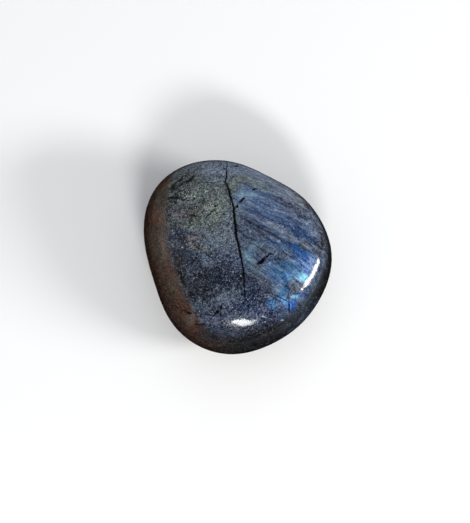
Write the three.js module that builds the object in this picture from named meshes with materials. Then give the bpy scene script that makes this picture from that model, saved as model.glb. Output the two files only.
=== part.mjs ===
// A polished labradorite pebble, in millimetres, lying on its back with its face up.
// +X is right and +Y is up as the face is read, and +Z comes out of the face.
// The origin is on the resting plane, under the middle of the outline.
import * as THREE from "three";
import { mergeVertices } from "three/addons/utils/BufferGeometryUtils.js";

// The outline's radius at equal steps of azimuth, anticlockwise from +X.
const OUTLINE_RADII = [
  14.5, 14.0, 13.45, 13.15, 14.35, 15.85, 16.6, 15.6, 14.0, 13.5, 14.4, 15.1, 15.05, 14.45, 14.25, 14.3,
];

// Heights from the waist, which is the widest level: up to the face, and down to the back before wear.
const CROWN_HEIGHT = 7.2;
const BACK_DEPTH = 6.0;

// How much is ground off the back where the pebble rests.
const REST_WEAR = 0.1;

// The middle of the face against the middle of the outline.
const CROWN_SHIFT = { x: 0.4, y: 1.1 };

// How square the shoulder is: 2 is an ellipse, and more brings the flat face nearer to the edge.
// It is squarest towards the azimuth SQUAREST, and softest on the other side.
const SHOULDER = 3.1;
const SHOULDER_SWING = 0.7;
const SQUAREST = 65;

// Rise per millimetre outwards of the waist and of the face, each towards its own azimuth.
const WAIST_SLOPE = { azimuth: 60, rise: 0.05 };
const FACE_SLOPE = { azimuth: 150, rise: 0.025 };

// Broad shallow hollows and swells, by the direction that they face. A swell has a depth below zero.
const UNDULATIONS = [
  { azimuth: 20, elevation: 58, spread: 22, depth: 0.22 },
  { azimuth: 120, elevation: 62, spread: 22, depth: -0.2 },
  { azimuth: 215, elevation: 52, spread: 22, depth: 0.25 },
  { azimuth: 290, elevation: 60, spread: 20, depth: -0.15 },
  { azimuth: 75, elevation: -48, spread: 26, depth: 0.5 },
  { azimuth: 230, elevation: -50, spread: 26, depth: 0.4 },
];

// Each edge of the icosahedron that the facets come from is cut into DETAIL + 1.
const DETAIL = 16;

const radians = THREE.MathUtils.degToRad;

function unitVector(azimuth, elevation) {
  const level = Math.cos(radians(elevation));
  return new THREE.Vector3(
    level * Math.cos(radians(azimuth)),
    level * Math.sin(radians(azimuth)),
    Math.sin(radians(elevation)),
  );
}

// The smooth closed curve through the outline's radii: the sum of each radius times a periodic kernel
// that is 1 at that radius's own azimuth and 0 at the others.
function outlineRadius(azimuth) {
  const count = OUTLINE_RADII.length;
  return OUTLINE_RADII.reduce((sum, radius, i) => {
    const half = (azimuth - (2 * Math.PI * i) / count) / 2;
    const sine = Math.sin(half);
    const kernel = Math.abs(sine) < 1e-9 ? 1 : (Math.sin(count * half) * Math.cos(half)) / (count * sine);
    return sum + radius * kernel;
  }, 0);
}

// How far the surface lies inside the plain form in this direction.
function hollow(direction) {
  return UNDULATIONS.reduce((sum, place) => {
    const facing = unitVector(place.azimuth, place.elevation);
    const away = (1 - direction.dot(facing)) / (1 - Math.cos(radians(place.spread)));
    return sum + place.depth * Math.exp(-away);
  }, 0);
}

function slopeRise(slope, x, y) {
  return slope.rise * (x * Math.cos(radians(slope.azimuth)) + y * Math.sin(radians(slope.azimuth)));
}

// The surface point for a direction on the unit sphere. Each upright section is an ellipse whose reach is
// raised to a power, so that the face and the back are nearly flat and the side stays round.
function surfacePoint(direction) {
  const azimuth = Math.atan2(direction.y, direction.x);
  const up = direction.z;
  const onCrown = up > 0;
  const shoulder = SHOULDER + SHOULDER_SWING * Math.cos(azimuth - radians(SQUAREST));
  // This power gives the side the same bend above and below the waist.
  const power = onCrown ? shoulder : shoulder * (CROWN_HEIGHT / BACK_DEPTH) ** 2;
  const reach = outlineRadius(azimuth) * Math.hypot(direction.x, direction.y) ** (2 / power);
  const lean = onCrown ? up * up : 0;
  const x = reach * Math.cos(azimuth) + CROWN_SHIFT.x * lean;
  const y = reach * Math.sin(azimuth) + CROWN_SHIFT.y * lean;
  const z =
    (onCrown ? CROWN_HEIGHT : BACK_DEPTH) * up +
    slopeRise(WAIST_SLOPE, x, y) * (1 - up * up) +
    slopeRise(FACE_SLOPE, x, y) * lean;
  const point = new THREE.Vector3(x, y, z);
  return point.multiplyScalar(1 - hollow(direction) / point.length());
}

// One closed surface, ground flat where it rests, with its outline centred on the origin.
function pebbleGeometry() {
  const ball = new THREE.IcosahedronGeometry(1, DETAIL);
  ball.deleteAttribute("normal");
  ball.deleteAttribute("uv");
  const geometry = mergeVertices(ball, 1e-5);
  const position = geometry.getAttribute("position");
  const vertex = new THREE.Vector3();
  for (let i = 0; i < position.count; i++) {
    vertex.copy(surfacePoint(vertex.fromBufferAttribute(position, i).normalize()));
    position.setXYZ(i, vertex.x, vertex.y, vertex.z);
  }
  geometry.computeBoundingBox();
  const { min, max } = geometry.boundingBox;
  geometry.translate(-(min.x + max.x) / 2, -(min.y + max.y) / 2, -min.z - REST_WEAR);
  for (let i = 0; i < position.count; i++) {
    position.setZ(i, Math.max(0, position.getZ(i)));
  }
  geometry.computeVertexNormals();
  return geometry;
}

function pebble() {
  const polishedStone = new THREE.MeshStandardMaterial({ color: 0x2c3440, roughness: 0.18, metalness: 0 });
  const mesh = new THREE.Mesh(pebbleGeometry(), polishedStone);
  mesh.name = "labradorite_pebble";
  return mesh;
}

const group = new THREE.Group();
group.add(pebble());

export default group;
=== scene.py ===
# A polished labradorite pebble, about 29 x 30 x 13 mm, lying on its back on a pale floor.
# +X is right and +Y is up as its face is read, and +Z comes out of the face.
import math

import bpy
import numpy as np
from mathutils import Matrix, Vector


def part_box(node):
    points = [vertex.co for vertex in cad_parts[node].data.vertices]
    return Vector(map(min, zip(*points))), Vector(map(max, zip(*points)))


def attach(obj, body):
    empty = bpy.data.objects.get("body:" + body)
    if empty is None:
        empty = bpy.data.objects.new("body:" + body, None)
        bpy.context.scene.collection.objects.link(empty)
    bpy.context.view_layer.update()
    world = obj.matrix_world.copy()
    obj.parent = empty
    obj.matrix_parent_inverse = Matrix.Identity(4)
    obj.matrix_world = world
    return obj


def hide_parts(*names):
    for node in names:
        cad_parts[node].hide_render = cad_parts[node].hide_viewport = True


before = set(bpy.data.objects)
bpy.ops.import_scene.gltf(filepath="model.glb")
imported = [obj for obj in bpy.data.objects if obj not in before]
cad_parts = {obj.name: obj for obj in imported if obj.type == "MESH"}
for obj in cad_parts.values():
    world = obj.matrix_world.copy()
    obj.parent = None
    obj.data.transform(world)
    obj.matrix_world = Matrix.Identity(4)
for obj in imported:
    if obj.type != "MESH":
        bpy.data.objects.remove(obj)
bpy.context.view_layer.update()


# The pebble
# One piece of labradorite, a dark feldspar that flashes blue from thin layers inside it. It was sawn to a
# cushion, tumbled and polished, and it is ground flat on the back where it rests.
# Its surface follows the solid of the frame, with the open crack and the pits cut into it.
MM = 0.001

# The outline's radius at equal steps of azimuth, anticlockwise from +X, in millimetres.
OUTLINE_RADII = np.array(
    [14.5, 14.0, 13.45, 13.15, 14.35, 15.85, 16.6, 15.6, 14.0, 13.5, 14.4, 15.1, 15.05, 14.45, 14.25, 14.3]
)
CROWN_HEIGHT = 7.2
BACK_DEPTH = 6.0
REST_WEAR = 0.1
CROWN_SHIFT = (0.4, 1.1)

# How square the shoulder is, squarest towards the azimuth SQUAREST.
SHOULDER = 3.1
SHOULDER_SWING = 0.7
SQUAREST = 65

# Azimuth, and rise per millimetre outwards.
WAIST_SLOPE = (60, 0.05)
FACE_SLOPE = (150, 0.025)

# Broad hollows and swells: azimuth and elevation faced, spread in degrees, and depth.
UNDULATIONS = [
    (20, 58, 22, 0.22),
    (120, 62, 22, -0.2),
    (215, 52, 22, 0.25),
    (290, 60, 20, -0.15),
    (75, -48, 26, 0.5),
    (230, -50, 26, 0.4),
]

# The open crack across the face, from its top end down: y, x and the width of the dark line.
CRACK = np.array(
    [
        (13.6, -1.95, 0.06),
        (12.0, -2.2, 0.18),
        (11.1, -2.15, 0.22),
        (10.3, -2.45, 0.24),
        (9.8, -2.1, 0.24),
        (8.2, -1.7, 0.32),
        (6.9, -1.35, 0.2),
        (6.1, -1.1, 0.36),
        (4.7, -1.05, 0.34),
        (3.4, -0.87, 0.4),
        (1.7, -0.75, 0.36),
        (0.3, -0.36, 0.36),
        (-1.2, -0.08, 0.28),
        (-3.4, 0.35, 0.22),
        (-4.4, 0.43, 0.24),
        (-6.1, 0.51, 0.18),
        (-8.2, 0.67, 0.01),
    ]
)
# The groove's depth where the line is widest, and its half width against the line's width.
GROOVE_DEPTH = 0.09
GROOVE_SPREAD = 0.8

# Dark mineral grains that tumbling has left a little hollow: x, y, half length, half width, turn, depth.
PITS = [
    (2.0, 9.2, 0.3, 0.2, 30, 0.1),
    (0.15, 7.4, 0.6, 0.24, 55, 0.12),
    (-0.6, 6.45, 0.42, 0.13, 50, 0.08),
    (3.1, -1.95, 0.85, 0.24, 42, 0.14),
    (4.1, -1.05, 0.6, 0.14, 43, 0.1),
    (-0.6, 13.2, 0.32, 0.2, 0, 0.06),
    (-7.6, -9.4, 0.28, 0.2, -30, 0.08),
    (-2.9, -8.8, 0.28, 0.2, 60, 0.06),
    (-3.5, -9.4, 0.42, 0.2, 30, 0.07),
    (2.6, -13.8, 0.42, 0.28, -10, 0.08),
    (-11.5, -6.9, 0.22, 0.14, 60, 0.05),
]

# The crack and the pits are cut in only above this height.
CUT_ABOVE = 7.2

# Ripples that tumbling leaves in the polish: how many, their wavelengths, their height and their seed.
RIPPLES = 24
RIPPLE_LENGTHS = (0.9, 3.0)
RIPPLE_HEIGHT = 0.0012
RIPPLE_SEED = 7

# Spacing of the rows along the section, on the crown and on the back, and the number of columns.
CROWN_STEP = 0.15
BACK_STEP = 0.45
COLUMNS = 580

# The columns stand closer together towards the two ends of the crack: azimuth, spread and added density.
CLOSER = [(104, 12, 2.0), (-88, 12, 2.0)]

# How many points of the outline and of the section are measured to space the columns and the rows.
OUTLINE_SAMPLES = 4000
SECTION_SAMPLES = 20000


def outline_radius(azimuth):
    """The smooth closed curve through the n radii: the sum of each radius times a kernel in the half angle
    h past its own azimuth, sin(n h) cos(h) / (n sin(h)), which is 1 there and 0 at the others."""
    count = len(OUTLINE_RADII)
    half = (azimuth[..., None] - 2 * np.pi * np.arange(count) / count) / 2
    sine = np.sin(half)
    at_radius = np.abs(sine) < 1e-9
    kernel = np.sin(count * half) * np.cos(half) / (count * np.where(at_radius, 1, sine))
    return np.where(at_radius, 1, kernel) @ OUTLINE_RADII


def slope_rise(slope, x, y):
    """Rise per millimetre times the distance from the middle towards the slope's azimuth."""
    azimuth = math.radians(slope[0])
    return slope[1] * (x * math.cos(azimuth) + y * math.sin(azimuth))


def pebble_surface(azimuth, up):
    """The surface point for a direction, given by its azimuth and its height on the unit sphere.
    The reach is outline radius * sqrt(1 - up^2)^(2 / power) and the height is crown or back * up, so the
    face is nearly flat and the side round. The face is shifted and sloped by up^2, the waist sloped by
    1 - up^2. Each hollow draws the point inwards by depth * exp(-(1 - cos(away)) / (1 - cos(spread)))."""
    level = np.sqrt(np.maximum(0, 1 - up**2))
    on_crown = up > 0
    shoulder = SHOULDER + SHOULDER_SWING * np.cos(azimuth - math.radians(SQUAREST))
    # This power gives the side the same bend above and below the waist.
    power = np.where(on_crown, shoulder, shoulder * (CROWN_HEIGHT / BACK_DEPTH) ** 2)
    reach = outline_radius(azimuth) * level ** (2 / power)
    lean = np.where(on_crown, up**2, 0)
    x = reach * np.cos(azimuth) + CROWN_SHIFT[0] * lean
    y = reach * np.sin(azimuth) + CROWN_SHIFT[1] * lean
    z = np.where(on_crown, CROWN_HEIGHT, BACK_DEPTH) * up
    z = z + slope_rise(WAIST_SLOPE, x, y) * (1 - up**2) + slope_rise(FACE_SLOPE, x, y) * lean
    point = np.stack([x, y, z], axis=-1)
    direction = np.stack([level * np.cos(azimuth), level * np.sin(azimuth), up], axis=-1)
    inwards = 0
    for *angles, depth in UNDULATIONS:
        faced, elevation, spread = np.radians(angles)
        outwards = math.cos(elevation)
        facing = [outwards * math.cos(faced), outwards * math.sin(faced), math.sin(elevation)]
        inwards = inwards + depth * np.exp(-(1 - direction @ facing) / (1 - math.cos(spread)))
    return point * (1 - inwards / np.linalg.norm(point, axis=-1))[..., None]


def column_azimuths():
    """Azimuths whose density is 1 plus a bell curve about each end of the crack."""
    fine = np.linspace(0, 2 * np.pi, OUTLINE_SAMPLES)
    density = np.ones_like(fine)
    for towards, spread, added in CLOSER:
        away = np.angle(np.exp(1j * (fine - math.radians(towards))))
        density += added * np.exp(-((away / math.radians(spread)) ** 2))
    count = np.concatenate([[0], np.cumsum((density[1:] + density[:-1]) / 2)])
    return np.interp(np.arange(COLUMNS) / COLUMNS, count / count[-1], fine)


def row_heights():
    """Heights on the unit sphere, from the top down, that lie at even steps along the section's arc."""
    polar = np.linspace(0, np.pi, SECTION_SAMPLES)
    section = pebble_surface(np.zeros_like(polar), np.cos(polar))
    arc = np.linalg.norm(np.diff(section, axis=0), axis=1)
    steps = arc / np.where(polar[1:] < np.pi / 2, CROWN_STEP, BACK_STEP)
    count = np.concatenate([[0], np.cumsum(steps)])
    rows = int(count[-1])
    return np.cos(np.interp(np.arange(1, rows) / rows, count / count[-1], polar))


def outward(surface):
    """Unit normals of a grid that is closed along its columns: the cross product of its two slopes."""
    around = np.roll(surface, -1, axis=1) - np.roll(surface, 1, axis=1)
    down = np.gradient(surface, axis=0)
    normal = np.cross(down, around)
    return normal / np.linalg.norm(normal, axis=-1)[..., None]


def sunk(surface):
    """How far the crack and the pits are cut in: each depth times exp(-away^2), where away is the distance
    from the crack's line over half its width, or the elliptical radius about the pit."""
    x, y, z = np.moveaxis(surface, -1, 0)
    line = CRACK[::-1]
    line_x = np.interp(y, line[:, 0], line[:, 1])
    half_width = np.interp(y, line[:, 0], line[:, 2], left=0, right=0) * GROOVE_SPREAD
    away = (x - line_x) / np.maximum(half_width, 1e-3)
    open_width = half_width / (line[:, 2].max() * GROOVE_SPREAD)
    depth = GROOVE_DEPTH * open_width * np.exp(-(away**2))
    for pit_x, pit_y, half_length, half_breadth, turn, pit_depth in PITS:
        along = (x - pit_x) * math.cos(math.radians(turn)) + (y - pit_y) * math.sin(math.radians(turn))
        across = (y - pit_y) * math.cos(math.radians(turn)) - (x - pit_x) * math.sin(math.radians(turn))
        depth = depth + pit_depth * np.exp(-((along / half_length) ** 2) - (across / half_breadth) ** 2)
    return np.where(z > CUT_ABOVE, depth, 0)


def ripples(surface):
    """The sum of plane waves in seeded directions, each height * sin(2 pi distance / length + start)."""
    draw = np.random.default_rng(RIPPLE_SEED)
    rise = 0
    for length in np.geomspace(*RIPPLE_LENGTHS, RIPPLES):
        heading = draw.normal(size=3)
        heading /= np.linalg.norm(heading)
        start = draw.uniform(0, 2 * np.pi)
        rise = rise + RIPPLE_HEIGHT * np.sin(2 * np.pi * (surface @ heading) / length + start)
    return rise


def pebble_mesh():
    """The surface on a grid of rows and columns, closed by one vertex at each pole."""
    up, azimuth = np.meshgrid(row_heights(), column_azimuths(), indexing="ij")
    surface = pebble_surface(azimuth, up)
    poles = pebble_surface(np.zeros(2), np.array([1.0, -1.0]))
    # Centred on the solid's box, with the worn height taken off below.
    low, high = (np.array(corner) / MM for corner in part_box("labradorite_pebble"))
    middle = (surface.min(axis=(0, 1)) + surface.max(axis=(0, 1))) / 2
    shift = (low + high) / 2 - middle
    shift[2] = -min(poles[1, 2], surface[..., 2].min()) - REST_WEAR
    surface, poles = surface + shift, poles + shift
    surface = surface + outward(surface) * (ripples(surface) - sunk(surface))[..., None]
    vertices = np.concatenate([poles[:1], surface.reshape(-1, 3), poles[1:]])
    vertices[:, 2] = np.maximum(vertices[:, 2], 0)
    rows, columns = azimuth.shape
    grid = 1 + np.arange(rows * columns).reshape(rows, columns)
    beside = np.roll(grid, -1, axis=1)
    quads = np.stack([grid[:-1], grid[1:], beside[1:], beside[:-1]], axis=-1).reshape(-1, 4)
    cap = np.stack([np.zeros(columns, int), grid[0], beside[0]], axis=-1)
    base = np.stack([np.full(columns, len(vertices) - 1), beside[-1], grid[-1]], axis=-1)
    mesh = bpy.data.meshes.new("labradorite_pebble_polished")
    mesh.from_pydata((vertices * MM).tolist(), [], quads.tolist() + cap.tolist() + base.tolist())
    mesh.polygons.foreach_set("use_smooth", np.ones(len(mesh.polygons), dtype=bool))
    mesh.update()
    return mesh


pebble = bpy.data.objects.new("labradorite_pebble_polished", pebble_mesh())
bpy.context.collection.objects.link(pebble)


def linear(srgb):
    """The linear colour of an sRGB hex value."""
    shares = np.array([int(srgb[i : i + 2], 16) for i in (1, 3, 5)]) / 255
    curved = np.where(shares <= 0.04045, shares / 12.92, ((shares + 0.055) / 1.055) ** 2.4)
    return (*curved.tolist(), 1.0)


# Labradorite, ground and tumbled to a gloss. The body is dark, brown on the left flank and nearly black on
# the right. The brown is partly painted warm light, and the near black is partly painted shade. Light comes
# back from layers inside it in patches of slate, navy, royal blue and azure, streaked along the layers,
# under a clear hard polish.
stone = bpy.data.materials.new("tumbled_labradorite")
stone.use_nodes = True
tree = stone.node_tree
tree.nodes.clear()


def add(kind, inputs=None, **settings):
    """Adds one node to the tree. An input is a value, a node, whose first output feeds it, or an output."""
    node = tree.nodes.new("ShaderNode" + kind)
    for name, value in settings.items():
        setattr(node, name, value)
    for name, value in (inputs or {}).items():
        usable = [socket for socket in node.inputs if socket.enabled]
        socket = usable[name] if isinstance(name, int) else next(s for s in usable if s.name == name)
        if isinstance(value, bpy.types.Node):
            value = next(output for output in value.outputs if output.enabled)
        if isinstance(value, bpy.types.NodeSocket):
            tree.links.new(value, socket)
        else:
            socket.default_value = value
    return node


position = add("TexCoord")
millimetres = add("Mapping", {"Vector": position.outputs["Object"], "Scale": (1 / MM, 1 / MM, 1 / MM)})
place = add("SeparateXYZ", {"Vector": millimetres})

# Nothing inside the stone runs quite straight. Each point takes its pattern from a little to one side, by
# up to half of DRIFT, or of SWAY for the layers.
NOISE_MIDDLE = (0.5, 0.5, 0.5)
DRIFT = (2.0, 2.0, 2.0)
SWAY = (0.9, 0.9, 0.9)
wander = add("TexNoise", {"Vector": millimetres, "Scale": 0.45, "Detail": 1.0})
wander = add("VectorMath", {0: wander.outputs["Color"], 1: NOISE_MIDDLE}, operation="SUBTRACT")
drifted = add("VectorMath", {0: wander, 1: DRIFT, 2: millimetres}, operation="MULTIPLY_ADD")
swayed = add("VectorMath", {0: wander, 1: SWAY, 2: millimetres}, operation="MULTIPLY_ADD")

# The layers inside show right of the crack. They fan out from a point far to the upper left, so that they
# run about 20 degrees down to the right near the top and 38 degrees near the bottom.
FAN_CENTRE = (-24.6, 18.0, 0.0)
FAN_RADIUS = 35.0
from_centre = add("VectorMath", {0: swayed, 1: FAN_CENTRE}, operation="SUBTRACT")
from_centre = add("SeparateXYZ", {"Vector": from_centre})
fan_angle = add("Math", {0: from_centre.outputs["Y"], 1: from_centre.outputs["X"]}, operation="ARCTAN2")
across = add("Math", {0: fan_angle, 1: FAN_RADIUS}, operation="MULTIPLY")
layers = add("CombineXYZ", {
    "X": from_centre.outputs["X"],
    "Y": across,
    "Z": from_centre.outputs["Z"],
})


def drawn_out(ground, turn, length, width, detail):
    """Noise in strokes of this length and width in millimetres, turned in the plane of the face."""
    local = add("Mapping", {
        "Vector": ground,
        "Rotation": (0, 0, math.radians(turn)),
        "Scale": (length, width, width),
    }, vector_type="TEXTURE")
    return add("TexNoise", {"Vector": local, "Scale": 1.0, "Detail": detail, "Roughness": 0.6})


# The layers are far finer than this: they are drawn 0.14 to 0.5 mm apart so that they show. Left of the
# crack the grain is feathery.
bands = drawn_out(layers, turn=0, length=6.0, width=0.5, detail=3.0)
threads = drawn_out(layers, turn=0, length=3.0, width=0.14, detail=2.0)
feathers = drawn_out(drifted, turn=38, length=1.8, width=0.25, detail=3.0)
fine = add("TexNoise", {"Vector": millimetres, "Scale": 2.2, "Detail": 4.0, "Roughness": 0.75})

# The layers begin at the crack. Towards the bottom they draw back from it to the right.
drawn_back = add("MapRange", {
    "Value": place.outputs["Y"],
    "From Min": -2.5,
    "From Max": -9.0,
    "To Max": -6.5,
})
past_crack = add("Math", {0: place.outputs["X"], 1: drawn_back}, operation="ADD")
right_half = add("MapRange", {"Value": past_crack, "From Min": -1.6, "From Max": 1.2})

# Grain about 0.16 mm across.
grain = add("TexVoronoi", {"Vector": millimetres, "Scale": 6.2})
grain_shade = add("SeparateColor", {"Color": grain.outputs["Color"]})

# The feathers with the fine noise, and the layers. Each is a sum of noises, with this mean.
FEATHERED_MEAN = 1.0
LAYERED_MEAN = 1.5
feathered = add("Math", {0: feathers, 1: fine}, operation="ADD")
layered = add("Math", {0: bands, 1: 2.0, 2: threads}, operation="MULTIPLY_ADD")

# Edges follow the layers right of the crack. Left of it they follow the feathers, and break up into grains.
# Each fray is how far a noise shifts an edge, against the size of the patch.
FEATHER_FRAY = 0.9
GRAIN_FRAY = 0.2
LAYER_FRAY = 0.8
feathered_edge = add("Math", {
    0: feathered,
    1: FEATHER_FRAY,
    2: -FEATHER_FRAY * FEATHERED_MEAN - GRAIN_FRAY / 2,
}, operation="MULTIPLY_ADD")
feathered_edge = add("Math", {0: grain_shade, 1: GRAIN_FRAY, 2: feathered_edge}, operation="MULTIPLY_ADD")
layered_edge = add("Math", {
    0: layered,
    1: LAYER_FRAY,
    2: -LAYER_FRAY * LAYERED_MEAN,
}, operation="MULTIPLY_ADD")
edge = add("Mix", {"Factor": right_half, "A": feathered_edge, "B": layered_edge}, data_type="FLOAT")

# The height at which the patches of the face are centred, their half depth, and how far out the nearness
# to a patch is measured, against its size.
FACE_LEVEL = 12.0
PATCH_DEPTH = 8.0
REACH = 3.0


def patch(ellipse, softness, ground, roughened, level=FACE_LEVEL):
    """1 inside the ellipse and 0 outside it, with an edge as soft as given, shifted by the roughening.
    The nearness is 1 at its middle and falls evenly to 0 at REACH times its size."""
    x, y, half_length, half_width, turn = ellipse
    local = add("Mapping", {
        "Vector": ground,
        "Location": (x, y, level),
        "Rotation": (0, 0, math.radians(turn)),
        "Scale": (half_length * REACH, half_width * REACH, PATCH_DEPTH * REACH),
    }, vector_type="TEXTURE")
    nearness = add("TexGradient", {"Vector": local}, gradient_type="SPHERICAL").outputs["Fac"]
    nearness = add("Math", {0: roughened, 1: -1 / REACH, 2: nearness}, operation="MULTIPLY_ADD")
    return add("MapRange", {
        "Value": nearness,
        "From Min": 1 - (1 + softness) / REACH,
        "From Max": 1 - (1 - softness) / REACH,
    }, interpolation_type="SMOOTHSTEP", clamp=False)


def united(masks):
    """The strongest of several masks."""
    joined = 0.0
    for mask in masks:
        joined = add("Math", {0: joined, 1: mask}, operation="MAXIMUM")
    return joined


# The body is mottled. On the flank it is paler towards the face and darker low down, which is painted
# shade where the flank turns away from the light, and drawn-out streaks follow it round.
STREAK_SHARE = 0.35
PALE_POWER = 1.6
cloud = add("TexNoise", {"Vector": drifted, "Scale": 0.5, "Detail": 5.0, "Roughness": 0.7})
cloud = add("MapRange", {"Value": cloud, "From Min": 0.35, "From Max": 0.65})
round_streaks = add("Mapping", {"Vector": drifted, "Scale": (3.0, 3.0, 0.35)}, vector_type="TEXTURE")
round_streaks = add("TexNoise", {"Vector": round_streaks, "Scale": 1.0, "Detail": 4.0, "Roughness": 0.65})
round_streaks = add("MapRange", {"Value": round_streaks, "From Min": 0.35, "From Max": 0.65})
flank_painted_shade = add("MapRange", {"Value": place.outputs["Z"], "From Min": 6.0, "From Max": 11.0})
pale_mottle_and_shade = add("Math", {0: cloud, 1: round_streaks}, operation="ADD")
pale_mottle_and_shade = add("Math", {0: pale_mottle_and_shade, 1: STREAK_SHARE, 2: flank_painted_shade}, operation="MULTIPLY_ADD")
pale_mottle_and_shade = add("MapRange", {"Value": pale_mottle_and_shade, "From Min": 0.3, "From Max": 1.5})
pale_mottle_and_shade = add("Math", {0: pale_mottle_and_shade, 1: PALE_POWER}, operation="POWER")

# It is brown on the left and nearly black on the right. The warm brown of the left flank is partly the
# stone's own and partly painted warm light, as if bounced onto it from a warm surface beside it. The near
# black of the right is partly painted shade, darker than the stone, so that the right flank stays dark
# under the low lamp. A broad slow noise makes the brown redder here and greyer there, and clouds the lowest
# part of the flank with a smoky black.
slow = add("TexNoise", {"Vector": drifted, "Scale": 0.16, "Detail": 2.0})
greyness = add("MapRange", {"Value": slow, "From Min": 0.6, "From Max": 0.42})
tawny = add("Mix", {"Factor": greyness, "A": linear("#57382a"), "B": linear("#484033")}, data_type="RGBA")
brown = add("Mix", {"Factor": pale_mottle_and_shade, "A": linear("#1e0f08"), "B": tawny}, data_type="RGBA")
black = add("Mix", {"Factor": pale_mottle_and_shade, "A": linear("#030304"), "B": linear("#111319")}, data_type="RGBA")
far_right = add("MapRange", {"Value": place.outputs["X"], "From Min": -6.0, "From Max": 0.0})
body = add("Mix", {"Factor": far_right, "A": brown, "B": black}, data_type="RGBA")
smoke = add("MapRange", {"Value": slow, "From Min": 0.45, "From Max": 0.65, "To Max": 0.75})
low_down = add("MapRange", {"Value": place.outputs["Z"], "From Min": 7.5, "From Max": 4.5})
smoke = add("Math", {0: smoke, 1: low_down}, operation="MULTIPLY")
body = add("Mix", {"Factor": smoke, "A": body, "B": linear("#141416")}, data_type="RGBA")

# Stretches of the flank where navy shows, and paler ones: sRGB, height, and places as in PATCHES below.
FLANK_SOFTNESS = 0.9
FLANK_PATCHES = [
    ("#1b212b", 9.5, [(-3.0, -12.0, 2.4, 1.2, -12), (9.5, -9.5, 3.0, 1.0, 45)]),
    ("#544b44", 10.0, [(-7.3, -10.1, 0.8, 0.7, 0), (-11.6, 0.5, 0.5, 1.6, 5)]),
]
for shade, height, ellipses in FLANK_PATCHES:
    mask = united(patch(ellipse, FLANK_SOFTNESS, drifted, feathered_edge, height) for ellipse in ellipses)
    body = add("Mix", {"Factor": mask, "A": body, "B": linear(shade)}, data_type="RGBA")

# The mottled ground of the face, from dark to pale.
GREY_GREEN = ("#2a2f31", "#596366")
NAVY_GREY = ("#1b2232", "#475266")
SLATE_BLUE = ("#2a3445", "#576a85")
upper_left, lower_left, right_mottle = (
    add("Mix", {"Factor": cloud, "A": linear(dark), "B": linear(pale)}, data_type="RGBA")
    for dark, pale in (GREY_GREEN, NAVY_GREY, SLATE_BLUE)
)
lower = add("MapRange", {"Value": place.outputs["Y"], "From Min": 4.0, "From Max": -1.0})
left_mottle = add("Mix", {"Factor": lower, "A": upper_left, "B": lower_left}, data_type="RGBA")
mottle = add("Mix", {"Factor": right_half, "A": left_mottle, "B": right_mottle}, data_type="RGBA")

# The face ends where the surface has turned 40 to 60 degrees away from the layers, which lie a little
# tilted towards +Y. On the left it ends sooner, at the edge of a large ellipse, where the brown flank
# begins. Beyond it the darker body shows, which is partly painted shade along the rim where the surface
# turns away.
LAYERS_FACE = (0.0, 0.22, 0.976)
TURNED_FRAY = 0.1
FACE_ELLIPSE = (4.0, 2.0, 14.7, 22.0, 15)
FACE_ELLIPSE_LEVEL = 10.5
FACE_SOFTNESS = 0.04
FACE_FRAY = 0.08
turned_to = add("VectorMath", {0: position.outputs["Normal"], 1: LAYERS_FACE}, operation="DOT_PRODUCT")
turned_to = add("Math", {0: edge, 1: -TURNED_FRAY, 2: turned_to.outputs["Value"]}, operation="MULTIPLY_ADD")
level_share = add("MapRange", {
    "Value": turned_to,
    "From Min": 0.5,
    "From Max": 0.76,
}, interpolation_type="SMOOTHSTEP", clamp=False)
face_edge = add("Math", {0: edge, 1: FACE_FRAY}, operation="MULTIPLY")
on_face = patch(FACE_ELLIPSE, FACE_SOFTNESS, drifted, face_edge, FACE_ELLIPSE_LEVEL)
on_face = add("Math", {0: on_face, 1: level_share}, operation="MULTIPLY")
colour = add("Mix", {"Factor": on_face, "A": body, "B": mottle}, data_type="RGBA")
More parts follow.
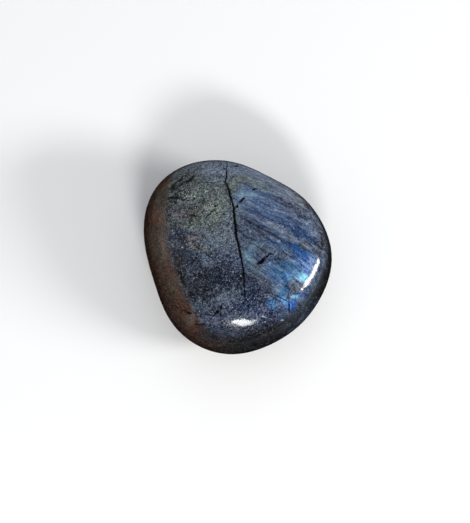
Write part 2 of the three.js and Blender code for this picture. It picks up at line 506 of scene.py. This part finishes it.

# The stone's colours in order of laying, with painted sky sheen, rim shade and highlight edge among them:
# sRGB, how metallic the light from inside is, how soft the edge is, and the places as x, y, half length,
# half width and turn.
PATCHES = {
    # A pale band along the top of the face: the stone's slate with a painted reflection of the sky on it.
    "slate and sky sheen": ("#616d7d", 0.1, 0.8, [
        (-3.0, 12.8, 7.0, 1.7, -2),
    ]),
    "pale slate and sky sheen": ("#6b798a", 0.1, 0.9, [
        (3.8, 11.8, 3.8, 1.1, -22),
        (5.4, 9.9, 1.6, 0.45, -28),
    ]),
    "grey slate": ("#555f6b", 0.1, 0.8, [
        (-3.6, 1.5, 3.2, 2.0, 0),
        (-2.4, 4.4, 1.3, 2.8, 5),
    ]),
    "warm slate": ("#595f61", 0.05, 0.9, [
        (8.4, 8.6, 3.6, 0.8, -40),
    ]),
    "dim slate": ("#3d4754", 0.1, 0.8, [
        (-1.4, -6.8, 2.0, 1.8, 0),
    ]),
    "slate blue": ("#516789", 0.3, 0.8, [
        (3.0, 6.9, 3.2, 1.6, -18),
        (5.4, 5.6, 3.0, 0.7, -22),
    ]),
    "dim slate blue": ("#44587b", 0.3, 0.8, [
        (9.2, 4.5, 3.0, 0.9, -30),
        (3.0, 5.4, 1.8, 0.5, -16),
    ]),
    "grey blue": ("#5c687b", 0.12, 0.9, [
        (6.8, 8.2, 3.2, 0.7, -28),
    ]),
    "dim grey blue": ("#525e72", 0.15, 0.9, [
        (9.4, 4.8, 2.4, 0.5, -32),
    ]),
    # Painted shade along the upper right rim, darker than the stone, over its own dark olive grey.
    "shaded rim grey": ("#25231f", 0.0, 0.9, [
        (12.7, 3.0, 2.8, 0.7, -66),
        (10.9, 7.2, 2.6, 0.75, -46),
        (8.7, 9.5, 1.6, 0.5, -40),
    ]),
    "dark slate": ("#39445a", 0.2, 0.8, [
        (1.8, 2.9, 2.4, 2.2, -18),
        (-0.5, -3.4, 0.9, 1.9, 8),
        (3.4, 1.4, 1.6, 0.7, -20),
    ]),
    "violet navy": ("#262f40", 0.15, 0.8, [
        (2.4, -5.4, 3.0, 1.9, -15),
    ]),
    "violet grey": ("#252f49", 0.1, 0.9, [
        (4.4, -9.3, 3.0, 1.0, 8),
        (0.8, -8.8, 1.6, 0.9, 0),
        (5.4, -10.5, 2.2, 0.5, 12),
    ]),
    "navy": ("#182133", 0.25, 0.8, [
        (-4.0, -4.6, 4.0, 2.5, -10),
        (-8.7, -1.0, 1.6, 1.6, 0),
    ]),
    "black navy": ("#121722", 0.2, 0.8, [
        (-6.2, -6.0, 2.0, 1.4, -30),
        (-5.4, -4.4, 1.2, 0.8, -30),
    ]),
    "clear navy": ("#1b2942", 0.25, 0.8, [
        (-9.8, 2.2, 1.5, 0.9, 0),
        (1.5, -7.2, 1.3, 1.5, 0),
    ]),
    "olive": ("#40433d", 0.0, 0.8, [
        (-8.4, 10.8, 2.6, 1.3, 35),
        (-6.9, 0.4, 1.4, 0.2, -38),
    ]),
    "pale olive": ("#44473f", 0.0, 0.8, [
        (-6.9, 5.2, 1.1, 0.6, 0),
    ]),
    "deep olive": ("#272a26", 0.0, 0.8, [
        (-5.4, 6.9, 1.4, 0.45, -25),
        (-8.2, 8.8, 1.0, 0.5, 30),
    ]),
    "olive grey": ("#50554f", 0.0, 0.8, [
        (0.9, 10.6, 1.9, 0.6, -10),
    ]),
    "green slate": ("#626f76", 0.05, 0.8, [
        (2.6, 10.0, 2.0, 0.5, -20),
        (-7.6, 2.8, 0.9, 0.4, -10),
        (-3.6, 10.6, 1.0, 0.5, 0),
    ]),
    "straw": ("#56574a", 0.0, 0.9, [
        (-7.1, 0.3, 0.5, 0.2, -35),
        (-5.9, -0.5, 0.55, 0.17, -38),
    ]),
    "grey green": ("#545e5b", 0.05, 0.8, [
        (-6.0, 8.4, 1.7, 1.1, 8),
        (-3.5, 6.2, 1.3, 2.2, -15),
        (-1.0, 10.0, 0.8, 1.0, 0),
    ]),
    "pale grey green": ("#5a6360", 0.05, 0.8, [
        (-6.0, 3.5, 2.4, 0.8, 0),
    ]),
    "lilac brown": ("#504f57", 0.0, 0.7, [
        (-9.2, 5.4, 1.3, 1.1, 0),
        (-7.3, 1.4, 1.4, 0.9, 0),
    ]),
    "dark lilac": ("#292a2f", 0.0, 0.8, [
        (-9.6, 8.9, 1.3, 0.6, 0),
        (-10.9, 6.4, 0.6, 1.9, 5),
        (11.4, 1.4, 0.8, 0.5, -35),
    ]),
    "lilac navy": ("#2b3245", 0.1, 0.9, [
        (7.4, 7.1, 2.6, 0.5, -22),
        (9.0, 5.8, 1.4, 0.45, -32),
        (4.0, 2.6, 1.6, 0.3, -22),
    ]),
    "deep lilac navy": ("#20263a", 0.1, 0.9, [
        (8.0, 6.4, 1.0, 0.5, -30),
    ]),
    "light slate": ("#535f6e", 0.1, 0.9, [
        (-2.3, -7.4, 1.1, 0.9, 30),
        (-5.2, -2.0, 1.0, 0.7, 0),
        (-4.4, 0.8, 1.4, 0.6, 0),
        (-7.2, -8.5, 0.8, 0.5, 0),
        (4.6, -5.5, 1.4, 0.6, -38),
    ]),
    "deep blue": ("#26426d", 0.4, 0.8, [
        (6.4, 3.9, 2.4, 0.35, -24),
        (9.2, 2.6, 2.4, 0.55, -26),
    ]),
    "dark blue": ("#0f192c", 0.25, 0.8, [
        (6.1, -1.6, 1.1, 0.8, -10),
    ]),
    # Painted shade on the right rim beside the highlight, over the stone's own navy.
    "shaded rim blue": ("#08132e", 0.2, 0.9, [
        (12.3, -2.8, 0.5, 1.3, -15),
        (10.5, -6.1, 1.3, 0.5, 42),
    ]),
    # Painted shade on the right rim, over the stone's own navy.
    "shaded rim navy": ("#0e1422", 0.2, 0.9, [
        (12.8, 1.2, 0.6, 1.2, 0),
    ]),
    "dusky lilac": ("#4e597c", 0.1, 0.9, [
        (4.8, -4.8, 1.7, 0.2, -40),
    ]),
    "light teal": ("#7593a8", 0.2, 0.8, [
        (0.9, 8.2, 1.0, 0.6, 10),
    ]),
    "teal": ("#5c798f", 0.2, 0.8, [
        (1.3, -1.2, 0.9, 1.3, 0),
        (2.4, 0.3, 0.9, 0.5, 35),
    ]),
    "dark teal": ("#38495a", 0.15, 0.8, [
        (2.2, -3.3, 1.1, 0.8, 0),
        (1.2, 0.6, 0.5, 0.4, -30),
    ]),
    "royal": ("#193860", 0.55, 0.8, [
        (8.7, -0.4, 2.8, 1.0, -28),
    ]),
    "dim royal": ("#123762", 0.5, 0.8, [
        (9.6, -6.5, 1.0, 0.35, 42),
    ]),
    "slate royal": ("#34567c", 0.4, 0.8, [
        (5.4, 0.9, 1.8, 0.4, -20),
        (6.6, 0.6, 1.4, 0.2, -22),
    ]),
    "bright royal": ("#24508a", 0.55, 0.8, [
        (9.2, -0.6, 1.7, 0.75, -32),
    ]),
    "low royal": ("#1f478a", 0.6, 0.8, [
        (7.9, -8.4, 0.65, 0.8, -10),
    ]),
    "royal heart": ("#2c66b4", 0.6, 0.9, [
        (7.8, -8.2, 0.3, 0.4, -10),
    ]),
    "azure": ("#3b6690", 0.5, 0.9, [
        (8.0, -3.0, 2.0, 0.9, -30),
        (5.8, -3.9, 1.9, 1.0, -28),
        (6.2, -7.4, 1.1, 0.5, -35),
        (4.9, -8.3, 0.8, 0.4, -25),
    ]),
    "low azure": ("#083c84", 0.5, 0.9, [
        (8.9, -6.8, 0.6, 0.3, 25),
    ]),
    "bright azure": ("#477299", 0.5, 0.9, [
        (8.3, -3.6, 1.1, 0.5, -25),
        (6.1, -6.1, 0.7, 0.35, -35),
    ]),
    "clear azure": ("#5692c6", 0.6, 0.9, [
        (7.2, -4.3, 0.8, 0.3, -15),
        (6.7, -7.6, 0.5, 0.3, -35),
    ]),
    # The cyan beside the right highlight is the stone's flash with a painted highlight edge on it, which
    # widens the highlight inwards.
    "cyan": ("#72b2c4", 0.6, 0.9, [
        (9.5, -3.9, 0.5, 0.35, -30),
        (10.1, -3.5, 0.5, 0.3, -45),
    ]),
    "low cyan": ("#5ea0ae", 0.6, 0.9, [
        (8.2, -7.25, 0.45, 0.3, 0),
    ]),
    "dusky violet": ("#4268a2", 0.4, 0.9, [
        (9.6, -2.2, 1.2, 0.4, -38),
    ]),
    "violet": ("#5a6da2", 0.4, 0.9, [
        (11.0, -1.2, 0.6, 0.3, -40),
    ]),
    "dark wedge": ("#1f4d77", 0.4, 0.8, [
        (6.9, -5.4, 1.5, 0.45, -68),
    ]),
    "umber": ("#3b4048", 0.0, 0.9, [
        (8.5, -5.6, 1.2, 1.05, -10),
        (9.9, 0.4, 0.6, 0.3, -30),
        (3.4, -0.3, 0.9, 0.5, -10),
        (12.0, 0.2, 0.8, 0.6, -30),
        (10.0, 1.1, 1.3, 0.25, -25),
    ]),
    "dull lilac": ("#5b6575", 0.05, 0.9, [
        (8.0, 2.0, 2.6, 0.3, -25),
        (7.8, 5.2, 2.2, 0.15, -24),
        (11.3, 2.7, 0.8, 0.3, -30),
    ]),
    "pale lilac": ("#798398", 0.05, 0.9, [
        (5.4, 3.4, 1.1, 0.4, -24),
        (4.4, 4.1, 0.7, 0.2, -24),
        (7.4, 9.3, 0.9, 0.3, -38),
    ]),
    "dark olive": ("#170e05", 0.0, 0.9, [
        (-8.9, -3.4, 0.6, 2.3, 15),
        (-9.0, 1.3, 0.7, 0.4, 0),
        (-8.4, -5.8, 0.6, 1.0, 25),
    ]),
    # Painted shade along the lower and right rim, over the stone's own near black, darker than the stone so
    # that the rim stays dark.
    "black": ("#0a0908", 0.0, 0.9, [
        (3.4, -12.3, 4.4, 1.2, 4),
        (8.4, -10.6, 2.2, 0.8, 42),
        (12.0, -7.0, 2.4, 0.8, 62),
        (12.7, -4.9, 0.7, 1.2, -10),
    ]),
}
# How far a patch covers what lies under it.
PATCH_SHARE = 0.94

flash = 0.0
for shade, shine, softness, ellipses in PATCHES.values():
    mask = united(patch(ellipse, softness, drifted, edge) for ellipse in ellipses)
    mask = add("Math", {0: mask, 1: on_face}, operation="MULTIPLY")
    mask = add("Math", {0: mask, 1: PATCH_SHARE}, operation="MULTIPLY")
    colour = add("Mix", {"Factor": mask, "A": colour, "B": linear(shade)}, data_type="RGBA")
    flash = add("Mix", {"Factor": mask, "A": flash, "B": shine}, data_type="FLOAT")

# Between the blue layers some are a dull lilac. Where the flash is strong they show less.
between = add("MapRange", {
    "Value": drawn_out(layers, turn=0, length=5.0, width=0.35, detail=1.0),
    "From Min": 0.5,
    "From Max": 0.7,
    "To Max": 0.4,
})
unlit = add("MapRange", {"Value": flash, "From Max": 0.6, "To Min": 1.0, "To Max": 0.4})
for share in (right_half, on_face, unlit):
    between = add("Math", {0: between, 1: share}, operation="MULTIPLY")
colour = add("Mix", {"Factor": between, "A": colour, "B": linear("#54555f")}, data_type="RGBA")

# Layers, feathers, grains and the dark hollows of the fine noise lift or dim the three colours alike, and
# less on the flank. This is added on the even scale of brightness that the eye has, which a power of the
# linear colour gives.
LAYERED_LIGHT = 0.33
LAYERED_LIFT = 0.01
FEATHERED_LIGHT = 0.52
GRAIN_MIDDLE = 0.48
EYE_POWER = 2.2
DARKEST = (0.04, 0.04, 0.04)
layered_light = add("Math", {
    0: layered,
    1: LAYERED_LIGHT,
    2: LAYERED_LIFT - LAYERED_LIGHT * LAYERED_MEAN,
}, operation="MULTIPLY_ADD")
layered_light = add("Math", {0: layered_light, 1: unlit}, operation="MULTIPLY")
feathered_light = add("Math", {
    0: feathered,
    1: FEATHERED_LIGHT,
    2: -FEATHERED_LIGHT * FEATHERED_MEAN,
}, operation="MULTIPLY_ADD")
light = add("Mix", {"Factor": right_half, "A": feathered_light, "B": layered_light}, data_type="FLOAT")
grain_gain = add("MapRange", {"Value": right_half, "To Min": 0.28, "To Max": 0.17})
grain_light = add("Math", {0: grain_shade, 1: GRAIN_MIDDLE}, operation="SUBTRACT")
grain_light = add("Math", {0: grain_light, 1: grain_gain}, operation="MULTIPLY")
hollow_depth = add("MapRange", {"Value": right_half, "To Min": -0.07, "To Max": -0.05})
hollows = add("MapRange", {"Value": fine, "From Min": 0.46, "From Max": 0.34, "To Max": hollow_depth})
for added in (grain_light, hollows):
    light = add("Math", {0: light, 1: added}, operation="ADD")
flank_share = add("MapRange", {"Value": far_right, "To Min": 0.4, "To Max": 0.6})
light_share = add("MapRange", {"Value": on_face, "To Min": flank_share, "To Max": 1.0})
light = add("Math", {0: light, 1: light_share}, operation="MULTIPLY")
evened = add("Gamma", {"Color": colour, "Gamma": 1 / EYE_POWER})
evened = add("VectorMath", {0: evened, 1: light}, operation="ADD")
evened = add("VectorMath", {0: evened, 1: DARKEST}, operation="MAXIMUM")
colour = add("Gamma", {"Color": evened, "Gamma": EYE_POWER})

# Small marks wander over a shorter distance than the patches.
SHIVER = (0.7, 0.7, 0.7)
shiver = add("TexNoise", {"Vector": millimetres, "Scale": 1.6, "Detail": 3.0})
shiver = add("VectorMath", {0: shiver.outputs["Color"], 1: NOISE_MIDDLE}, operation="SUBTRACT")
shivered = add("VectorMath", {0: shiver, 1: SHIVER, 2: millimetres}, operation="MULTIPLY_ADD")

# Dark dull strokes among the feathers of the upper left, and down the left edge of the face.
STROKE_SHARE = 0.92
STROKES = [
    (-10.3, 9.7, 0.75, 0.42, 40),
    (-9.0, 10.9, 1.1, 0.18, 38),
    (-8.8, 11.2, 0.9, 0.15, 36),
    (-7.7, 10.7, 1.2, 0.26, 32),
    (-8.9, 10.1, 1.1, 0.16, 36),
    (-7.3, 11.3, 0.5, 0.12, 35),
    (-10.1, 7.9, 1.3, 0.14, -4),
    (-8.9, 7.5, 0.8, 0.12, -14),
    (-10.2, 7.3, 0.8, 0.12, -6),
    (-7.2, 4.9, 0.6, 0.15, -10),
    (-8.75, -4.4, 1.25, 0.22, -66),
    (-7.25, -7.1, 0.9, 0.36, -60),
]
strokes = united(
    patch(stroke, softness=0.45, ground=shivered, roughened=feathered_edge, level=11.0)
    for stroke in STROKES
)
strokes = add("Math", {0: strokes, 1: STROKE_SHARE}, operation="MULTIPLY")
colour = add("Mix", {"Factor": strokes, "A": colour, "B": linear("#101314")}, data_type="RGBA")


def painted_glints(turn, length, width, rarity):
    """Painted glints: pale flecks of colour that stand in for the cleavage catching the light. They are
    cells of a grid drawn out along a direction, lit where their chance is above the rarity, brightest for
    the highest chance."""
    local = add("Mapping", {
        "Vector": drifted,
        "Rotation": (0, 0, math.radians(turn)),
        "Scale": (length, width, width),
    }, vector_type="TEXTURE")
    cells = add("TexVoronoi", {"Vector": local, "Scale": 1.0})
    chance = add("SeparateColor", {"Color": cells.outputs["Color"]})
    lit = add("MapRange", {"Value": chance, "From Min": rarity, "From Max": 0.5 + 0.5 * rarity})
    near = add("MapRange", {"Value": cells.outputs["Distance"], "From Min": 0.4, "From Max": 0.18})
    return add("Math", {0: lit, 1: near}, operation="MULTIPLY")


# The painted glints are dense in two places left of the crack's upper half, and in one below its end, where
# they paint the frayed left edge of the lower highlight. A few more lie all over the face in drifts,
# fainter right of the crack and hardly seen on the flank.
GLINT_PLACES = [(-6.9, 8.4, 1.6, 1.1, 10), (-4.3, 6.2, 1.3, 1.4, -15), (-1.9, -11.0, 0.9, 0.5, 10)]
glint_places = united(
    patch(ellipse, softness=0.8, ground=drifted, roughened=feathered_edge)
    for ellipse in GLINT_PLACES
)
dense_glints = united([
    painted_glints(turn=42, length=0.3, width=0.21, rarity=0.5),
    painted_glints(turn=-38, length=0.26, width=0.2, rarity=0.5),
])
dense_glints = add("Math", {0: dense_glints, 1: glint_places}, operation="MULTIPLY")
sparse_glints = united([
    painted_glints(turn=10, length=0.22, width=0.2, rarity=0.91),
    painted_glints(turn=-34, length=0.34, width=0.17, rarity=0.95),
])
drifts = add("MapRange", {"Value": cloud, "From Min": 0.9, "From Max": 0.2, "To Min": 0.1})
right_share = add("MapRange", {"Value": right_half, "To Min": 1.0, "To Max": 0.5})
face_share = add("MapRange", {"Value": on_face, "To Min": 0.12, "To Max": 1.0})
for share in (drifts, right_share, face_share):
    sparse_glints = add("Math", {0: sparse_glints, 1: share}, operation="MULTIPLY")
colour = add("Mix", {"Factor": dense_glints, "A": colour, "B": linear("#cdd1c6")}, data_type="RGBA")
colour = add("Mix", {"Factor": sparse_glints, "A": colour, "B": linear("#d2d9de")}, data_type="RGBA")

# The open crack: the same line as the groove in the mesh, as a curve of x over y. The dark line's half
# width is LINE_HALF times the width in CRACK, which the curve holds as a share of CURVE_TOP. The line
# wobbles by up to WOBBLE to either side.
LINE_HALF = 0.58
CURVE_TOP = 0.5
WOBBLE = 0.16
top, bottom = CRACK[0, 0], CRACK[-1, 0]
left, right = CRACK[:, 1].min(), CRACK[:, 1].max()
down_crack = add("MapRange", {"Value": place.outputs["Y"], "From Min": top, "From Max": bottom})


def along_crack(values):
    """A curve of straight pieces through these values, given as 0 to 1, down the crack."""
    curve = add("FloatCurve", {"Value": down_crack})
    points = curve.mapping.curves[0].points
    shares = (top - CRACK[:, 0]) / (top - bottom)
    for share, value in zip(shares[1:-1], values[1:-1]):
        points.new(share, value)
    for point, value in zip(points, values):
        point.location.y = value
        point.handle_type = "VECTOR"
    curve.mapping.update()
    return curve


crack_x = add("MapRange", {
    "Value": along_crack((CRACK[:, 1] - left) / (right - left)),
    "To Min": left,
    "To Max": right,
})
width_share = along_crack(CRACK[:, 2] / CURVE_TOP)
crack_half = add("Math", {0: width_share, 1: LINE_HALF * CURVE_TOP}, operation="MULTIPLY")
off_line = add("Math", {0: place.outputs["X"], 1: crack_x}, operation="SUBTRACT")
wobble = add("TexNoise", {"Vector": millimetres, "Scale": 2.8, "Detail": 3.0})
wobble = add("MapRange", {"Value": wobble, "To Min": -WOBBLE, "To Max": WOBBLE})
off_line = add("Math", {0: off_line, 1: wobble}, operation="ADD")
off_line = add("Math", {0: off_line}, operation="ABSOLUTE")
crack_share = add("Math", {0: off_line, 1: crack_half}, operation="DIVIDE")
crack = add("MapRange", {
    "Value": crack_share,
    "From Min": 1.5,
    "From Max": 0.5,
}, interpolation_type="SMOOTHSTEP", clamp=False)
above_waist = add("MapRange", {"Value": place.outputs["Z"], "From Min": 7.0, "From Max": 8.0})
crack = add("Math", {0: crack, 1: above_waist}, operation="MULTIPLY")

# Thin closed fissures: x, y, half length, half width and turn.
FISSURES = [
    (-4.7, 5.2, 1.15, 0.15, 47),
    (-3.9, 6.4, 0.3, 0.15, 70),
    (-6.4, 0.0, 0.9, 0.07, -34),
    (-4.9, -1.2, 0.85, 0.12, -44),
    (-2.5, 3.6, 0.6, 0.04, -38),
    (-1.4, -3.5, 1.3, 0.06, -24),
    (-9.6, -8.3, 0.7, 0.07, -28),
    (-8.2, -9.1, 0.9, 0.09, -26),
    (-3.9, -9.9, 0.4, 0.1, 58),
    (-7.8, -9.3, 0.25, 0.17, 60),
    (-5.6, -9.7, 1.6, 0.06, -6),
    (-5.8, -11.1, 1.5, 0.07, -6),
    (4.2, -6.55, 0.9, 0.07, -17),
    (5.8, -7.1, 0.9, 0.08, -22),
    (7.0, -7.6, 0.55, 0.08, -28),
    (7.5, -8.6, 0.8, 0.13, 94),
    (7.1, -7.0, 0.7, 0.06, 70),
    (9.1, -2.1, 1.4, 0.07, -37),
    (-4.4, 10.25, 1.7, 0.06, 2),
    (-2.5, 12.6, 0.4, 0.08, -50),
    (4.6, -1.6, 0.75, 0.06, -78),
    (8.9, -5.0, 0.7, 0.06, -40),
    (10.6, 0.9, 1.0, 0.05, -40),
]
fissures = united(patch(line, softness=0.5, ground=shivered, roughened=0.0) for line in FISSURES)
pits = united(patch(pit[:5], softness=0.4, ground=shivered, roughened=0.0) for pit in PITS)
dark = united([crack, fissures, pits])
colour = add("Mix", {"Factor": dark, "A": colour, "B": linear("#08080a")}, data_type="RGBA")

# Healed cleavages, which show as fine pale lines, and a few small bright faces that are painted glints,
# placed in the same way.
PALE_SHARE = 0.45
PALE_LINES = [
    (6.95, -0.5, 0.8, 0.07, -33),
    (5.3, -0.8, 0.5, 0.06, 52),
    (4.55, 4.0, 0.3, 0.1, -30),
    (3.2, 0.5, 0.4, 0.1, 50),
    (10.4, 4.4, 0.5, 0.06, 50),
    (10.1, 4.3, 0.3, 0.05, 50),
    (9.4, -1.7, 1.3, 0.035, -36),
    (10.1, -1.4, 0.7, 0.04, -36),
    (10.2, -2.4, 0.9, 0.04, -36),
    (8.9, -4.5, 0.9, 0.08, -28),
    (8.0, -4.9, 0.5, 0.06, 45),
    (5.6, 5.9, 1.1, 0.07, -22),
    (5.7, 1.2, 0.22, 0.16, 0),
    (6.5, -10.4, 0.22, 0.16, 30),
    (2.5, -10.0, 0.4, 0.06, 92),
    (3.6, -10.05, 0.5, 0.07, 0),
    (-5.2, 8.6, 0.4, 0.08, 40),
    (1.4, 2.5, 0.14, 0.14, 0),
]
pale_lines = united(patch(line, softness=0.6, ground=shivered, roughened=0.0) for line in PALE_LINES)
pale_lines = add("Math", {0: pale_lines, 1: PALE_SHARE}, operation="MULTIPLY")
colour = add("Mix", {"Factor": pale_lines, "A": colour, "B": linear("#b4bccd")}, data_type="RGBA")

# The polish, which the crack, the fissures, the pits and the strokes have lost. At a glancing angle and low
# on the flank it is held down, so that the rim stays dark against the pale floor.
GLOSS = 0.5
GLANCING_GLOSS = 0.03
UNPOLISHED_GLOSS = 0.05
glancing = add("LayerWeight", {"Blend": 0.5}).outputs["Facing"]
gloss = add("MapRange", {
    "Value": glancing,
    "From Min": 0.26,
    "From Max": 0.6,
    "To Min": GLOSS,
    "To Max": GLANCING_GLOSS,
})
shoulder_gloss = add("MapRange", {
    "Value": place.outputs["Z"],
    "From Min": 8.0,
    "From Max": 10.5,
    "To Min": 0.4,
})
gloss = add("Math", {0: gloss, 1: shoulder_gloss}, operation="MULTIPLY")
unpolished = add("Math", {0: dark, 1: strokes}, operation="MAXIMUM")
polish = add("Mix", {"Factor": unpolished, "A": gloss, "B": UNPOLISHED_GLOSS}, data_type="FLOAT")

# The polish follows the grain and the layers a little, which frays the edges of its highlights.
STONE_IOR = 1.56
relief = add("Math", {0: fine, 1: 2.0, 2: threads}, operation="MULTIPLY_ADD")
frayed = add("Bump", {"Strength": 0.12, "Distance": 0.02 * MM, "Height": relief})
shader = add("BsdfPrincipled", {
    "Base Color": colour,
    "Metallic": flash,
    "Roughness": 0.45,
    "IOR": STONE_IOR,
    "Specular IOR Level": 0.0,
    "Coat Weight": polish,
    "Coat Roughness": 0.06,
    "Coat IOR": STONE_IOR,
    "Coat Normal": frayed,
})
add("OutputMaterial", {"Surface": shader})

pebble.data.materials.append(stone)
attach(pebble, "root")
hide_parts("labradorite_pebble")


# The floor
# A plain sheet of matt off-white board, wide enough to fill the view from every side.
FLOOR_HALF = 3.0
FLOOR_LEVEL = -0.00001

floor_mesh = bpy.data.meshes.new("floor")
corners = np.array([(-1, -1), (1, -1), (1, 1), (-1, 1)]) * FLOOR_HALF
floor_mesh.from_pydata([(x, y, FLOOR_LEVEL) for x, y in corners.tolist()], [], [(0, 1, 2, 3)])
floor = bpy.data.objects.new("floor", floor_mesh)
bpy.context.collection.objects.link(floor)

board = bpy.data.materials.new("matt_board")
board.use_nodes = True
board_shader = board.node_tree.nodes["Principled BSDF"]
board_shader.inputs["Base Color"].default_value = linear("#fafaf9")
board_shader.inputs["Roughness"].default_value = 0.8
floor_mesh.materials.append(board)


# The light
# A dim pale room with one broad soft glow behind the stone, and two small soft boxes that stand low, so
# that the flat face stays free of their reflections.
LAMP_DISTANCE = 0.6


def towards(azimuth, elevation):
    """The unit vector for an azimuth, anticlockwise from +X, and an elevation."""
    level = math.cos(math.radians(elevation))
    return Vector((
        level * math.cos(math.radians(azimuth)),
        level * math.sin(math.radians(azimuth)),
        math.sin(math.radians(elevation)),
    ))


def softbox(name, azimuth, elevation, width, height, roll, power):
    """An oval of light that faces the stone, rolled about the line to it."""
    lamp = bpy.data.lights.new(name, "AREA")
    lamp.shape = "ELLIPSE"
    lamp.size = width
    lamp.size_y = height
    lamp.energy = power
    box = bpy.data.objects.new(name, lamp)
    facing = towards(azimuth, elevation)
    upright = facing.to_track_quat("Z", "Y").to_matrix().to_4x4()
    rolled = Matrix.Rotation(math.radians(roll), 4, "Z")
    box.matrix_world = Matrix.Translation(facing * LAMP_DISTANCE) @ upright @ rolled
    bpy.context.collection.objects.link(box)


softbox("right_strip", azimuth=-12.8, elevation=22.3, width=0.27, height=0.11, roll=-22, power=2.6)
softbox("front_box", azimuth=-81.5, elevation=37, width=0.235, height=0.085, roll=-26, power=1.7)

# The room is palest at the horizon. Each glow adds its tint times strength * exp((cos(away) - 1) /
# (1 - cos(spread))): azimuth, elevation, spread, strength and tint.
GLOWS = [
    (95, 15, 30, 1.3, "#dfe9ff"),
    (185, 25, 30, 0.5, "#ffffff"),
    (-14, 22.5, 8.5, 3.6, "#ffffff"),
    (-82, 37, 8, 2.4, "#ffffff"),
]
ZENITH_LIGHT = 0.3
HORIZON_LIGHT = 0.55
HORIZON_POWER = 3.0

world = bpy.data.worlds.new("pale_room")
world.use_nodes = True
# From here on add() adds to the room.
tree = world.node_tree
tree.nodes.clear()
outlook = add("TexCoord").outputs["Generated"]
height = add("SeparateXYZ", {"Vector": outlook}).outputs["Z"]
below_zenith = add("Math", {0: 1.0, 1: height}, operation="SUBTRACT", use_clamp=True)
below_zenith = add("Math", {0: below_zenith, 1: HORIZON_POWER}, operation="POWER")
room = add("MapRange", {"Value": below_zenith, "To Min": ZENITH_LIGHT, "To Max": HORIZON_LIGHT})
sky = add("VectorMath", {0: (1.0, 1.0, 1.0), "Scale": room}, operation="SCALE")
for azimuth, elevation, spread, strength, tint in GLOWS:
    cosine = add("VectorMath", {0: outlook, 1: towards(azimuth, elevation)}, operation="DOT_PRODUCT")
    sharpness = 1 / (1 - math.cos(math.radians(spread)))
    away = add("Math", {0: cosine.outputs["Value"], 1: sharpness, 2: -sharpness}, operation="MULTIPLY_ADD")
    glow = add("Math", {0: away}, operation="EXPONENT")
    shade = [share * strength for share in linear(tint)[:3]]
    glow_colour = add("VectorMath", {0: shade, "Scale": glow}, operation="SCALE")
    sky = add("VectorMath", {0: sky, 1: glow_colour}, operation="ADD")
background = add("Background", {"Color": sky, "Strength": 1.0})
add("OutputWorld", {"Surface": background})
bpy.context.scene.world = world
bpy.context.scene.view_settings.view_transform = "Standard"


# The camera
# It looks almost straight down at the face, with a long lens from 300 mm away.
VIEW_AZIMUTH = -20
VIEW_ELEVATION = 78
VIEW_DISTANCE = 0.3
VIEW_HEIGHT = 0.08046  # what the frame's long side spans at that distance
AIM_HEIGHT = 0.0065
AIM_RIGHT = -0.00046
AIM_UP = -0.00078

level = math.cos(math.radians(VIEW_ELEVATION))
back = Vector((
    level * math.sin(math.radians(VIEW_AZIMUTH)),
    -level * math.cos(math.radians(VIEW_AZIMUTH)),
    math.sin(math.radians(VIEW_ELEVATION)),
))
right_hand = Vector((0, 1, 0)).cross(back).normalized()
upward = back.cross(right_hand)
lens = bpy.data.cameras.new("camera")
lens.sensor_width = 36
lens.lens = lens.sensor_width * VIEW_DISTANCE / VIEW_HEIGHT
camera = bpy.data.objects.new("camera", lens)
aim = Vector((0, 0, AIM_HEIGHT)) + right_hand * AIM_RIGHT + upward * AIM_UP
turn = Matrix((right_hand, upward, back)).transposed().to_4x4()
camera.matrix_world = Matrix.Translation(aim + back * VIEW_DISTANCE) @ turn
bpy.context.collection.objects.link(camera)
bpy.context.scene.camera = camera
